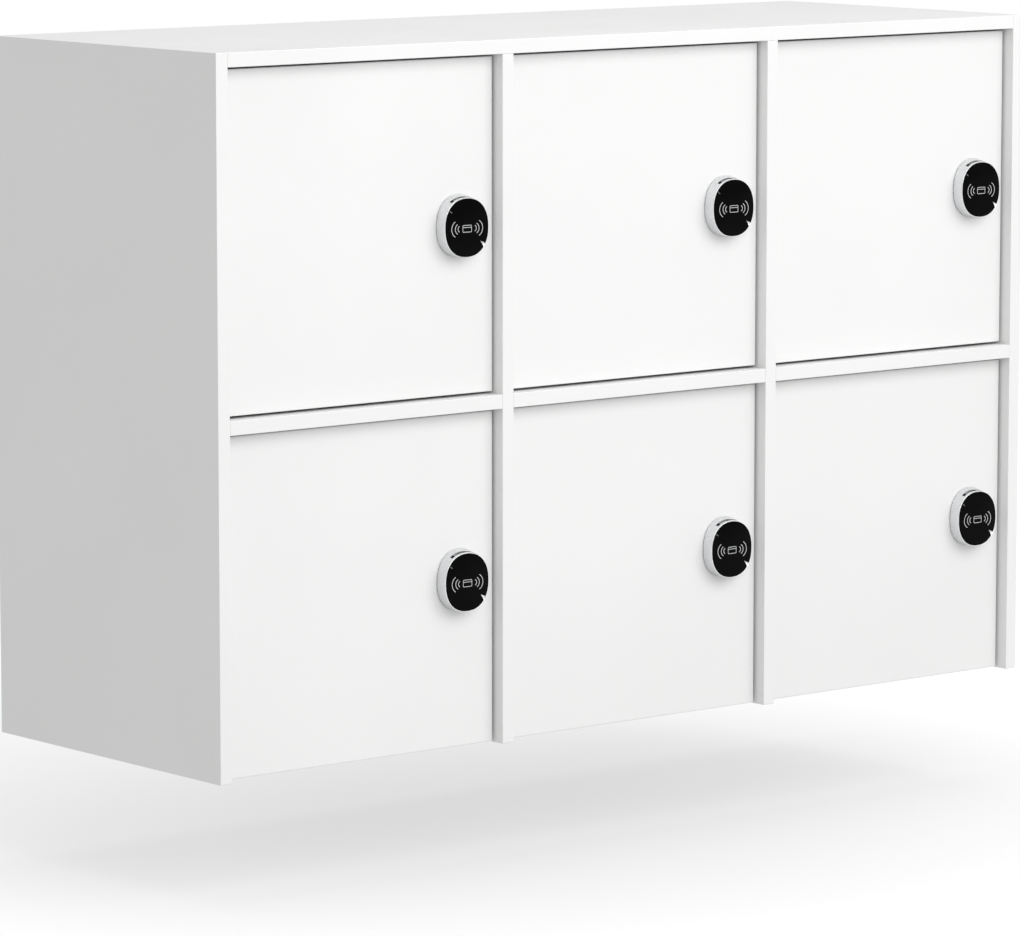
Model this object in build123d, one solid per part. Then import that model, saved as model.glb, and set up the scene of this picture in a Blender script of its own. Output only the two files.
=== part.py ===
from build123d import *
import math
import os

# A free-standing locker top unit: two rows of three compartments behind inset doors.
# All sizes are in millimetres. X runs along the width, Y from the front to the back,
# Z upwards. The origin is at the bottom centre of the whole unit.

# Carcass boards
carcass_width = 1200.0
carcass_depth = 420.0
carcass_height = 793.0
board_thickness = 16.0
edge_round = 0.8
back_thickness = 4.0
back_rebate = 8.0
back_clearance = 0.5

# Doors
door_thickness = 16.0
door_recess = 15.0
door_gap = 3.0
door_bottom_gap = 1.5
floor_clearance = 1.0
door_edge_round = 0.8

# Cam fittings that draw the boards together
cam_radius = 7.5
cam_height = 12.5
cam_clearance = 0.1
cam_backset = 24.0
cam_inset = 50.0
cam_slot_width = 1.6
cam_slot_depth = 2.0
bolt_radius = 2.5
bolt_hole_clearance = 0.5
bolt_head_radius = 3.4
bolt_head_length = 2.0
bolt_skin = 5.0

# Concealed hinges
hinge_end_inset = 90.0
cup_radius = 17.5
cup_wall = 1.0
cup_bore_depth = 12.0
cup_edge_distance = 5.0
cup_bore_clearance = 0.1
cup_tab_width = 18.0
cup_tab_length = 14.0
cup_tab_thickness = 1.2
cup_tab_root = 5.0
pin_radius = 1.25
pin_edge_distance = 12.0
pin_fit_clearance = 0.05
arm_ring_radius = 2.4
arm_thickness = 2.4
arm_height = 12.0
arm_reach = 16.6
arm_bridge_distance = 19.0
arm_tail_length = 40.0
plate_thickness = 2.6
plate_length = 36.0
plate_height = 44.0
plate_round = 4.0
plate_screw_spacing = 32.0
plate_front_distance = 33.0
hinge_opening_angle = 100.0

# Card lock: the part seen on the front of the door
lock_edge_distance = 49.0
lock_width = 62.0
lock_height = 66.0
lock_squareness = 2.25
lock_projection = 16.5
lock_top_flare = 3.4
lock_wall = 2.5
lock_outline_points = 16
face_rim = 0.5
face_thickness = 2.2
face_proud = 0.6
face_clearance = 0.15
notch_angle = -37.0
notch_length = 8.0
notch_width = 5.0
notch_depth = 1.4
slot_start_angle = 90.0
slot_end_angle = 126.0
slot_depth = 2.3
slot_width = 4.2
slot_front_distance = 5.4
slot_rib_count = 7
slot_rib_width = 0.7
seam_start_angle = 56.0
seam_width = 2.2
boss_radius = 11.0
boss_hole_clearance = 1.0
lock_screw_spacing = 44.0
lock_screw_radius = 2.0
lock_screw_clearance = 0.25
lock_screw_bite = 9.0
lock_post_radius = 4.5

# Card lock: the case and dead bolt behind the door
case_left_reach = 32.0
case_edge_gap = 4.0
case_height = 60.0
case_depth = 22.0
case_round = 3.0
case_screw_recess = 3.0
dead_bolt_length = 44.0
dead_bolt_height = 14.0
dead_bolt_depth = 8.0
dead_bolt_clearance = 0.3
dead_bolt_tail_room = 3.0
dead_bolt_nose = 1.5
dead_bolt_entry = 5.0

# Strike plates let into the boards
strike_thickness = 2.0
strike_height = 46.0
strike_depth = 20.0
strike_clearance = 0.2
strike_slot_margin = 1.0
strike_screw_spacing = 34.0

# Screws
screw_radius = 1.75
screw_head_radius = 3.3
screw_head_height = 1.8
screw_length = 11.0
screw_slot_width = 0.9
screw_slot_depth = 0.8
back_screw_inset = 40.0
back_screws_per_height = 4

# Holes for fixing the unit down onto the base below it
fixing_hole_radius = 2.75
fixing_inset_x = 60.0
fixing_inset_y = 60.0

columns = ["left", "middle", "right"]
rows = ["lower", "upper"]

# Places that follow from the sizes above
lock_proud = lock_projection - door_recess
front_y = (lock_proud - carcass_depth) / 2
rear_y = front_y + carcass_depth
back_front_y = rear_y - back_thickness
side_x = carcass_width / 2
opening_width = (carcass_width - (len(columns) + 1) * board_thickness) / len(columns)
opening_height = (carcass_height - len(rows) * board_thickness) / len(rows)
top_z = carcass_height - board_thickness
door_front_y = front_y + door_recess
door_back_y = door_front_y + door_thickness
door_width = opening_width - 2 * door_gap
pin_y = door_front_y + door_thickness / 2
door_edge_swing = math.hypot(pin_edge_distance, door_thickness / 2)
floor_front_y = pin_y + door_edge_swing + floor_clearance
bolt_y = door_back_y + case_depth / 2
dead_bolt_travel = case_edge_gap + door_gap + dead_bolt_entry


def block(x0, x1, y0, y1, z0, z1):
    """A box given by its six limits."""
    size = Box(x1 - x0, y1 - y0, z1 - z0)
    return Pos((x0 + x1) / 2, (y0 + y1) / 2, (z0 + z1) / 2) * size


def slab_x(x0, x1, y, y_size, z, z_size):
    """A box that spans x0 to x1 and is centred on y and z."""
    return block(x0, x1, y - y_size / 2, y + y_size / 2, z - z_size / 2, z + z_size / 2)


def rod_x(radius, x0, x1, y, z):
    """A round rod along X."""
    return Pos((x0 + x1) / 2, y, z) * Rot(0, 90, 0) * Cylinder(radius, abs(x1 - x0))


def rod_y(radius, x, y0, y1, z):
    """A round rod along Y."""
    return Pos(x, (y0 + y1) / 2, z) * Rot(90, 0, 0) * Cylinder(radius, abs(y1 - y0))


def rod_z(radius, x, y, z0, z1):
    """A round rod along Z."""
    return Pos(x, y, (z0 + z1) / 2) * Cylinder(radius, abs(z1 - z0))


def opening_left(column):
    """The left limit of a column of compartments."""
    return -side_x + board_thickness + column * (opening_width + board_thickness)


def opening_right(column):
    """The right limit of a column of compartments."""
    return opening_left(column) + opening_width


def opening_bottom(row):
    """The lower limit of a row of compartments, between the boards seen at the front."""
    return row * (opening_height + board_thickness)


def door_limits(column, row):
    """The left edge, bottom edge and top edge of a door."""
    left = opening_left(column) + door_gap
    low_gap = door_bottom_gap if row == 0 else door_gap
    bottom = opening_bottom(row) + low_gap
    top = opening_bottom(row) + opening_height - door_gap
    return left, bottom, top


def lock_centre(column, row):
    """The middle of a lock, seen from the front."""
    left, bottom, top = door_limits(column, row)
    return left + door_width - lock_edge_distance, (bottom + top) / 2


def hinge_heights(column, row):
    """The heights of the two hinges of a door."""
    bottom, top = door_limits(column, row)[1:]
    return [bottom + hinge_end_inset, top - hinge_end_inset]


def cut_all(body, tools):
    """The body with every tool taken away."""
    for tool in tools:
        body = body - tool
    return body


def round_front(body, y, radius):
    """The body with the edges of its front face rounded."""
    limit = min(radius, board_thickness / 4, door_thickness / 4)
    edges = [edge for edge in body.edges() if abs(edge.center().Y - y) < 1e-3]
    return fillet(edges, limit)


def fitting_depths(front):
    """The two places along Y of the cam fittings in a board."""
    return [front + cam_inset, back_front_y - cam_inset]


def level_boards():
    """Front limit and bottom height of the boards between the uprights."""
    return [(front_y, opening_height), (floor_front_y, 0.0)]


def lying_cams():
    """Cams in the underside of each lying board: centre, board bottom and side of the joint."""
    places = []
    for y in fitting_depths(front_y):
        places.append((-side_x + board_thickness + cam_backset, y, top_z, -1))
        places.append((side_x - board_thickness - cam_backset, y, top_z, 1))
    for front, bottom in level_boards():
        for y in fitting_depths(front):
            for column in range(len(columns)):
                places.append((opening_left(column) + cam_backset, y, bottom, -1))
                places.append((opening_right(column) - cam_backset, y, bottom, 1))
    return places


def upright_cams():
    """Cams in the left face of each divider, just under the top."""
    faces = [opening_right(column) for column in range(len(columns) - 1)]
    return [(x, y, top_z - cam_backset) for x in faces for y in fitting_depths(front_y)]


def lying_cam_hole(place):
    """The round pocket for a cam in a lying board."""
    x, y, bottom, side = place
    return rod_z(cam_radius + cam_clearance, x, y, bottom, bottom + cam_height + cam_clearance)


def side_bolts():
    """Bolts from the cams into the side panels, as start and end along X."""
    spans = []
    for x, y, bottom, side in lying_cams():
        outer = abs(abs(x) + cam_backset + board_thickness - side_x) < 1e-6
        if outer:
            seat = side * (side_x - bolt_skin)
            spans.append((x, seat, y, bottom + board_thickness / 2))
    return spans


def through_bolts():
    """Bolts that pass through a divider and reach a cam on each side of it."""
    spans = []
    for front, bottom in level_boards():
        for y in fitting_depths(front):
            for column in range(len(columns) - 1):
                start = opening_right(column) - cam_backset
                end = opening_left(column + 1) + cam_backset
                spans.append((start, end, y, bottom + board_thickness / 2))
    return spans


def bolt_channels():
    """The holes that all lying bolts run in."""
    radius = bolt_radius + bolt_hole_clearance
    return [rod_x(radius, x0, x1, y, z) for x0, x1, y, z in side_bolts() + through_bolts()]


def top_bolt_channels():
    """The upright holes for the bolts that hold the top to the dividers."""
    radius = bolt_radius + bolt_hole_clearance
    middle = board_thickness / 2
    return [rod_z(radius, x + middle, y, z, carcass_height - bolt_skin) for x, y, z in upright_cams()]


def lying_bolt(x0, x1, heads):
    """A bolt along X with a head at each end named in heads, at the origin's height."""
    shape = rod_x(bolt_radius, x0, x1, 0, 0)
    for x, way in heads:
        shape = shape + rod_x(bolt_head_radius, x, x + way * bolt_head_length, 0, 0)
    return shape


def connecting_bolts():
    """Every bolt that runs into a cam, as separate solids."""
    solids = []
    for x0, x1, y, z in side_bolts():
        way = math.copysign(1, x1 - x0)
        solids.append(Pos(0, y, z) * lying_bolt(x0, x1, [(x0, way)]))
    for x0, x1, y, z in through_bolts():
        solids.append(Pos(0, y, z) * lying_bolt(x0, x1, [(x0, 1), (x1, -1)]))
    for x, y, z in upright_cams():
        middle = x + board_thickness / 2
        shank = rod_z(bolt_radius, middle, y, z, carcass_height - bolt_skin)
        solids.append(shank + rod_z(bolt_head_radius, middle, y, z, z + bolt_head_length))
    return solids


def cam_blank():
    """One cam standing on the origin, with its screwdriver slot in the bottom face."""
    body = rod_z(cam_radius, 0, 0, 0, cam_height)
    half = cam_slot_width / 2
    reach = cam_radius * 0.7
    return body - block(-reach, reach, -half, half, 0, cam_slot_depth)


def cam_housings():
    """Every cam, each with the hollow that its bolt's head sits in."""
    hollow_radius = bolt_head_radius + bolt_hole_clearance
    middle = board_thickness / 2
    back_of_head = bolt_head_length
    solids = []
    for x, y, bottom, side in lying_cams():
        cam = Pos(x, y, bottom) * cam_blank()
        hollow = rod_x(hollow_radius, x - side * back_of_head, x + side * 2 * cam_radius, y, bottom + middle)
        solids.append(cam - hollow)
    for x, y, z in upright_cams():
        cam = Pos(x, y, z) * Rot(0, 90, 0) * cam_blank()
        hollow = rod_z(hollow_radius, x + middle, y, z - back_of_head, z + 2 * cam_radius)
        solids.append(cam - hollow)
    return solids


def hinge_places():
    """The left edge of the door and the height of every hinge."""
    places = []
    for column in range(len(columns)):
        for row in range(len(rows)):
            left = door_limits(column, row)[0]
            places += [(left, z) for z in hinge_heights(column, row)]
    return places


def plate_screw_places():
    """The wall face, depth and height of every screw in the hinge plates."""
    y = door_front_y + plate_front_distance + plate_length / 2
    half = plate_screw_spacing / 2
    return [(left - door_gap, y, z + side * half) for left, z in hinge_places() for side in (-1, 1)]


def strike_places():
    """The wall face and height of every strike plate."""
    places = []
    for column in range(len(columns)):
        for row in range(len(rows)):
            places.append((opening_right(column), lock_centre(column, row)[1]))
    return places


def strike_screw_places():
    """The wall face, depth and height of every screw in the strike plates."""
    half = strike_screw_spacing / 2
    return [(x, bolt_y, z + side * half) for x, z in strike_places() for side in (-1, 1)]


def strike_opening(x0, x1, z):
    """The room for a dead bolt's nose, between two limits along X."""
    depth = dead_bolt_depth + 2 * strike_slot_margin
    height = dead_bolt_height + 2 * strike_slot_margin
    return slab_x(x0, x1, bolt_y, depth, z, height)


def strike_pockets():
    """The seats of the strike plates and the deeper pockets for the dead bolts."""
    tools = []
    for x, z in strike_places():
        seat_depth = strike_depth + 2 * strike_clearance
        seat_height = strike_height + 2 * strike_clearance
        tools.append(slab_x(x, x + strike_thickness, bolt_y, seat_depth, z, seat_height))
        tools.append(strike_opening(x, x + dead_bolt_entry + strike_slot_margin, z))
    return tools


def wood_screw():
    """A countersunk screw whose head is flush with the origin and whose point is at -X."""
    shank = rod_x(screw_radius, -screw_length, 0, 0, 0)
    head = Pos(-screw_head_height / 2, 0, 0) * Rot(0, 90, 0)
    head = head * Cone(screw_radius, screw_head_radius, screw_head_height)
    half = screw_slot_width / 2
    reach = screw_head_radius * 0.75
    slot = block(-screw_slot_depth, 1, -half, half, -reach, reach)
    cross = block(-screw_slot_depth, 1, -reach, reach, -half, half)
    return shank + head - slot - cross


def screw_hole():
    """The space that a countersunk screw takes up."""
    shank = rod_x(screw_radius, -screw_length, 0, 0, 0)
    head = Pos(-screw_head_height / 2, 0, 0) * Rot(0, 90, 0)
    return shank + head * Cone(screw_radius, screw_head_radius, screw_head_height)


def carcass_screw_poses():
    """The place and turn of every wood screw in the carcass."""
    poses = []
    for x, y, z in plate_screw_places():
        poses.append(Pos(x + plate_thickness, y, z))
    for x, y, z in strike_screw_places():
        poses.append(Pos(x, y, z) * Rot(0, 0, 180))
    for x, z in back_screw_places():
        poses.append(Pos(x, rear_y, z) * Rot(0, 0, 90))
    return poses


def back_screw_places():
    """Screws through the back panel into the dividers and the lying boards."""
    places = []
    uprights = [opening_right(column) + board_thickness / 2 for column in range(len(columns) - 1)]
    step = (top_z - 2 * back_screw_inset) / (back_screws_per_height - 1)
    for x in uprights:
        places += [(x, back_screw_inset + index * step) for index in range(back_screws_per_height)]
    levels = [board_thickness / 2, opening_height + board_thickness / 2]
    for z in levels:
        places += [(opening_left(column) + opening_width / 2, z) for column in range(len(columns))]
    return places


def carcass_screws():
    """Every wood screw in the carcass, as separate solids."""
    return [pose * wood_screw() for pose in carcass_screw_poses()]


def screw_tools():
    """The holes for every wood screw in the carcass."""
    return [pose * screw_hole() for pose in carcass_screw_poses()]


def near(tools, x0, x1):
    """Only the tools that reach into a span along X."""
    kept = []
    for tool in tools:
        box = tool.bounding_box()
        if box.max.X > x0 and box.min.X < x1:
            kept.append(tool)
    return kept


def side_panel(side):
    """A full-height end panel with a rebate for the back panel."""
    inner = side_x - board_thickness
    x0, x1 = sorted((side * inner, side * side_x))
    body = block(x0, x1, front_y, rear_y, 0, carcass_height)
    body = round_front(body, front_y, edge_round)
    rebate_x0, rebate_x1 = sorted((side * inner, side * (inner + back_rebate)))
    body = body - block(rebate_x0, rebate_x1, back_front_y, rear_y, 0, top_z + back_rebate)
    tools = near(bolt_channels() + screw_tools() + strike_pockets(), x0, x1)
    return cut_all(body, tools)


def top_panel():
    """The top, held between the side panels over the dividers."""
    inner = side_x - board_thickness
    body = block(-inner, inner, front_y, rear_y, top_z, carcass_height)
    body = round_front(body, front_y, edge_round)
    body = body - block(-inner, inner, back_front_y, rear_y, top_z, top_z + back_rebate)
    cams = [lying_cam_hole(place) for place in lying_cams() if place[2] == top_z]
    bolts = [tool for tool in bolt_channels() if tool.bounding_box().min.Z > top_z]
    return cut_all(body, cams + bolts + top_bolt_channels())


def divider(index):
    """An upright between two columns."""
    x0 = opening_right(index)
    x1 = x0 + board_thickness
    body = block(x0, x1, front_y, back_front_y, 0, top_z)
    body = round_front(body, front_y, edge_round)
    tools = near(bolt_channels() + top_bolt_channels() + screw_tools() + strike_pockets(), x0, x1)
    for x, y, z in upright_cams():
        if x == x0:
            tools.append(rod_x(cam_radius + cam_clearance, x, x + cam_height + cam_clearance, y, z))
    return cut_all(body, tools)


def lying_board(column, front, bottom):
    """A board between two uprights, with its cam pockets and bolt channels."""
    x0 = opening_left(column)
    x1 = opening_right(column)
    body = block(x0, x1, front, back_front_y, bottom, bottom + board_thickness)
    body = round_front(body, front, edge_round)
    cams = [lying_cam_hole(place) for place in lying_cams() if place[2] == bottom and x0 < place[0] < x1]
    tools = near(bolt_channels() + screw_tools(), x0, x1)
    tools = [tool for tool in tools if bottom < tool.bounding_box().center().Z < bottom + board_thickness]
    return cut_all(body, cams + tools)


def fixing_places():
    """The four places of the holes that fix the unit onto its base."""
    x = side_x - board_thickness - fixing_inset_x
    depths = [floor_front_y + fixing_inset_y, back_front_y - fixing_inset_y]
    return [(side * x, y) for side in (-1, 1) for y in depths]


def floor_board(column):
    """A floor behind the lower door, with fixing holes in the outer columns."""
    body = lying_board(column, floor_front_y, 0.0)
    x0 = opening_left(column)
    x1 = opening_right(column)
    holes = [rod_z(fixing_hole_radius, x, y, 0, board_thickness) for x, y in fixing_places() if x0 < x < x1]
    return cut_all(body, holes)


def back_panel():
    """The thin back, let into the rebates of the sides and the top."""
    x = side_x - board_thickness + back_rebate - back_clearance
    top = top_z + back_rebate - back_clearance
    body = block(-x, x, back_front_y, rear_y, back_clearance, top)
    holes = [tool for tool in screw_tools() if tool.bounding_box().max.Y > rear_y - screw_head_height]
    return cut_all(body, holes)


def hinge_plate(left, z):
    """The plate that holds a hinge arm to the upright."""
    wall = left - door_gap
    y = door_front_y + plate_front_distance + plate_length / 2
    body = slab_x(wall, wall + plate_thickness, y, plate_length, z, plate_height)
    edges = body.edges().filter_by(Axis.X)
    return fillet(edges, min(plate_round, plate_length / 4))


def hinge_plates():
    """Every hinge plate, with its two screw holes."""
    solids = []
    holes = [Pos(x + plate_thickness, y, z) * screw_hole() for x, y, z in plate_screw_places()]
    for left, z in hinge_places():
        plate = hinge_plate(left, z)
        box = plate.bounding_box()
        own = [hole for hole in holes if abs(hole.bounding_box().center().Z - z) < plate_height / 2]
        solids.append(cut_all(plate, near(own, box.min.X, box.max.X)))
    return solids


def hinge_arm(left, z):
    """The bent arm from the plate round the door's edge to the pin in the cup."""
    pin_x = left + pin_edge_distance
    low = z - arm_height / 2
    high = z + arm_height / 2
    half = arm_thickness / 2
    leg_x = pin_x + arm_reach
    bridge_y = pin_y + arm_bridge_distance
    tail_x = left - door_gap + plate_thickness
    tail_end = door_front_y + plate_front_distance + arm_tail_length
    ring = rod_z(arm_ring_radius, pin_x, pin_y, low, high)
    neck = block(pin_x, leg_x + half, pin_y - half, pin_y + half, low, high)
    leg = block(leg_x - half, leg_x + half, pin_y - half, bridge_y + half, low, high)
    bridge = block(tail_x, leg_x + half, bridge_y - half, bridge_y + half, low, high)
    tail = block(tail_x, tail_x + arm_thickness, bridge_y - half, tail_end, low, high)
    arm = ring + neck + leg + bridge + tail
    corners = arm.edges().filter_by(Axis.Z)
    outer = [edge for edge in corners if edge.center().X > leg_x + half - 1e-3]
    arm = fillet(outer, half)
    return arm - rod_z(pin_radius + pin_fit_clearance, pin_x, pin_y, low, high)


def hinge_arms():
    """Every hinge arm."""
    return [hinge_arm(left, z) for left, z in hinge_places()]


def strike_plates():
    """Every strike plate, with the slot for the dead bolt and two screw holes."""
    solids = []
    holes = [Pos(x, y, z) * Rot(0, 0, 180) * screw_hole() for x, y, z in strike_screw_places()]
    for x, z in strike_places():
        face_x = x + strike_thickness
        plate = slab_x(x, face_x, bolt_y, strike_depth, z, strike_height)
        plate = plate - strike_opening(x, face_x, z)
        own = [hole for hole in holes if abs(hole.bounding_box().center().Z - z) < strike_height / 2]
        solids.append(cut_all(plate, near(own, x, face_x)))
    return solids


def cup_centres(column, row):
    """The centres of the two hinge cups of a door."""
    left = door_limits(column, row)[0]
    return [(left + cup_edge_distance + cup_radius, z) for z in hinge_heights(column, row)]


def cup_screw_places(column, row):
    """The screws that hold the tabs of the hinge cups."""
    reach = cup_radius + cup_tab_length / 2
    return [(x, z + side * reach) for x, z in cup_centres(column, row) for side in (-1, 1)]


def lock_screw_places(column, row):
    """The two screws that clamp the lock's halves through the door."""
    x, z = lock_centre(column, row)
    half = lock_screw_spacing / 2
    return [(x, z - half), (x, z + half)]


def cup_screw_hole(x, z):
    """The space of a screw in a hinge cup's tab, driven from the inside of the door."""
    seat = Pos(x, door_back_y + cup_tab_thickness, z)
    return seat * Rot(0, 0, 90) * screw_hole()


def door_panel(column, row):
    """A door with its cup bores, the lock's hole and the screw holes."""
    left, bottom, top = door_limits(column, row)
    body = block(left, left + door_width, door_front_y, door_back_y, bottom, top)
    body = round_front(body, door_front_y, door_edge_round)
    tools = []
    for x, z in cup_centres(column, row):
        tools.append(rod_y(cup_radius + cup_bore_clearance, x, door_back_y - cup_bore_depth, door_back_y, z))
    tools += [cup_screw_hole(x, z) for x, z in cup_screw_places(column, row)]
    x, z = lock_centre(column, row)
    tools.append(rod_y(boss_radius + boss_hole_clearance, x, door_front_y, door_back_y, z))
    radius = lock_screw_radius + lock_screw_clearance
    tools += [rod_y(radius, sx, door_front_y, door_back_y, sz) for sx, sz in lock_screw_places(column, row)]
    return [cut_all(body, tools)]


def hinge_cups(column, row):
    """The two cups pressed into a door, and the pins that stand in them."""
    solids = []
    floor_y = door_back_y - cup_bore_depth
    pin_x = door_limits(column, row)[0] + pin_edge_distance
    for x, z in cup_centres(column, row):
        cup = rod_y(cup_radius, x, floor_y, door_back_y, z)
        half = cup_tab_width / 2
        reach = cup_radius + cup_tab_length
        tab_y = door_back_y + cup_tab_thickness
        lower = block(x - half, x + half, door_back_y, tab_y, z - reach, z - cup_radius + cup_tab_root)
        upper = block(x - half, x + half, door_back_y, tab_y, z + cup_radius - cup_tab_root, z + reach)
        cup = cup + lower + upper
        cup = cup - rod_y(cup_radius - cup_wall, x, floor_y + cup_wall, tab_y, z)
        holes = [cup_screw_hole(sx, sz) for sx, sz in cup_screw_places(column, row)]
        cup = cut_all(cup, holes)
        offset = x - pin_x
        half_chord = math.sqrt(cup_radius ** 2 - (offset + pin_radius) ** 2)
        pin = rod_z(pin_radius, pin_x, pin_y, z - half_chord, z + half_chord)
        solids.append(cup - pin)
        solids.append(pin)
    return solids


def door_screws(column, row):
    """The screws of a door: four in the hinge cups and two through the lock."""
    solids = []
    for x, z in cup_screw_places(column, row):
        seat = Pos(x, door_back_y + cup_tab_thickness, z)
        solids.append(seat * Rot(0, 0, 90) * wood_screw())
    head_y = door_back_y + case_depth - case_screw_recess
    tip_y = door_front_y - lock_screw_bite
    for x, z in lock_screw_places(column, row):
        shank = rod_y(lock_screw_radius, x, tip_y, head_y, z)
        head = rod_y(2 * lock_screw_radius, x, head_y, head_y + case_screw_recess - screw_slot_depth, z)
        half = screw_slot_width / 2
        reach = 1.5 * lock_screw_radius
        end_y = head_y + case_screw_recess
        slot = block(x - reach, x + reach, end_y - 2 * screw_slot_depth, end_y, z - half, z + half)
        solids.append(shank + head - slot)
    return solids


def lock_outline(width, height, lift):
    """The squarish oval outline of the lock in the XZ plane, stretched upwards by lift."""
    points = []
    for index in range(lock_outline_points):
        angle = 2 * math.pi * index / lock_outline_points
        c = math.cos(angle)
        s = math.sin(angle)
        scale = (abs(c) ** lock_squareness + abs(s) ** lock_squareness) ** (-1 / lock_squareness)
        stretch = lift if s > 0 else 0.0
        points.append((scale * c * width / 2, scale * s * (height / 2 + stretch)))
    return make_face(Spline(*points, periodic=True))


def front_plane(x, y, z):
    """A sketching plane that faces the front, at a place."""
    return Plane(origin=(x, y, z), x_dir=(1, 0, 0), z_dir=(0, -1, 0))


def lock_prism(x, z, inset, y0, y1):
    """A straight block with the lock's outline, drawn in by inset on all sides."""
    outline = lock_outline(lock_width - 2 * inset, lock_height - 2 * inset, 0.0)
    return extrude(front_plane(x, y1, z) * outline, amount=y1 - y0)


def wedge(x, z, start, end, y0, y1):
    """A sector seen from the front, between two angles in degrees."""
    reach = lock_width
    a = math.radians(start)
    b = math.radians(end)
    corners = [(0, 0), (reach * math.cos(a), reach * math.sin(a)), (reach * math.cos(b), reach * math.sin(b))]
    return extrude(front_plane(x, y1, z) * make_face(Polyline(*corners, close=True)), amount=y1 - y0)


def lock_housing(column, row):
    """The metal shell of the lock on the front of the door."""
    x, z = lock_centre(column, row)
    face_y = door_front_y - lock_projection + face_proud
    back = front_plane(x, door_front_y, z) * lock_outline(lock_width, lock_height, lock_top_flare)
    front = front_plane(x, face_y, z) * lock_outline(lock_width, lock_height, 0.0)
    shell = loft([back, front])
    seat_y = door_front_y - lock_projection + face_thickness
    shell = shell - lock_prism(x, z, face_rim, face_y - 1, seat_y)
    hollow_y = door_front_y - lock_wall
    hollow = lock_prism(x, z, face_rim + lock_wall, face_y - 1, hollow_y)
    for sx, sz in lock_screw_places(column, row):
        hollow = hollow - rod_y(lock_post_radius, sx, face_y - 2, hollow_y + 1, sz)
    shell = shell - hollow
    slot_y1 = seat_y + slot_front_distance
    slot_y0 = slot_y1 - slot_width
    outside = -lock_wall - lock_top_flare
    floor = slot_depth - lock_top_flare / 2
    ring = lock_prism(x, z, outside, slot_y0, slot_y1) - lock_prism(x, z, floor, slot_y0, slot_y1)
    slot = ring & wedge(x, z, slot_start_angle, slot_end_angle, slot_y0, slot_y1)
    step = (slot_end_angle - slot_start_angle) / (slot_rib_count + 1)
    rib_half = math.degrees(slot_rib_width / lock_height)
    for index in range(slot_rib_count):
        angle = slot_start_angle + (index + 1) * step
        slot = slot - wedge(x, z, angle - rib_half, angle + rib_half, slot_y0, slot_y1)
    seam_y0 = (slot_y0 + slot_y1 - seam_width) / 2
    seam_y1 = seam_y0 + seam_width
    floor = (slot_depth - lock_top_flare) / 2
    ring = lock_prism(x, z, outside, seam_y0, seam_y1) - lock_prism(x, z, floor, seam_y0, seam_y1)
    seam = ring & wedge(x, z, seam_start_angle, slot_start_angle, seam_y0, seam_y1)
    shell = shell - slot - seam
    shell = shell + rod_y(boss_radius, x, door_front_y - lock_wall, door_back_y, z)
    shell = shell - rod_y(boss_radius - lock_wall, x, door_front_y - lock_wall, door_back_y, z)
    for sx, sz in lock_screw_places(column, row):
        shell = shell - rod_y(lock_screw_radius, sx, door_front_y - lock_screw_bite, door_front_y, sz)
    return [shell]


def lock_face(column, row):
    """The black reader plate, with a nail notch in its lower right edge."""
    x, z = lock_centre(column, row)
    face_y = door_front_y - lock_projection
    plate = lock_prism(x, z, face_rim + face_clearance, face_y, face_y + face_thickness)
    edges = [edge for edge in plate.edges() if abs(edge.center().Y - face_y) < 1e-3]
    plate = fillet(edges, face_proud)
    a = math.radians(notch_angle)
    half = notch_width / 2
    tip = lock_width / 2 - notch_length
    outer = lock_width / 2 + notch_length
    corners = [(tip, 0), (outer, half * 2), (outer, -half * 2)]
    c = math.cos(a)
    s = math.sin(a)
    turned = [(along * c - across * s, along * s + across * c) for along, across in corners]
    cutter = front_plane(x, face_y + notch_depth, z) * make_face(Polyline(*turned, close=True))
    return [plate - extrude(cutter, amount=2 * notch_depth)]


def case_limits(column, row):
    """The left, right, bottom and top of the case behind the door."""
    x, z = lock_centre(column, row)
    right = x + lock_edge_distance - case_edge_gap
    return x - case_left_reach, right, z - case_height / 2, z + case_height / 2


def lock_case(column, row):
    """The case behind the door, with the dead bolt's channel."""
    x0, x1, z0, z1 = case_limits(column, row)
    z = (z0 + z1) / 2
    y1 = door_back_y + case_depth
    body = block(x0, x1, door_back_y, y1, z0, z1)
    edges = [edge for edge in body.edges() if edge.center().Y > door_back_y + 1e-3]
    body = fillet(edges, min(case_round, case_depth / 4))
    channel_depth = dead_bolt_depth + 2 * dead_bolt_clearance
    channel_height = dead_bolt_height + 2 * dead_bolt_clearance
    start = x1 - dead_bolt_length - dead_bolt_tail_room
    body = body - slab_x(start, x1, bolt_y, channel_depth, z, channel_height)
    for sx, sz in lock_screw_places(column, row):
        body = body - rod_y(lock_screw_radius + lock_screw_clearance, sx, door_back_y, y1, sz)
        recess = 2 * lock_screw_radius + lock_screw_clearance
        body = body - rod_y(recess, sx, y1 - case_screw_recess, y1, sz)
    return [body]


def lock_bolt(column, row):
    """The dead bolt, drawn back so that its nose is level with the case."""
    x0, x1, z0, z1 = case_limits(column, row)
    z = (z0 + z1) / 2
    body = slab_x(x1 - dead_bolt_length, x1, bolt_y, dead_bolt_depth, z, dead_bolt_height)
    nose = [edge for edge in body.edges() if edge.center().X > x1 - 1e-3]
    return [chamfer(nose, min(dead_bolt_nose, dead_bolt_depth / 4))]


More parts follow.
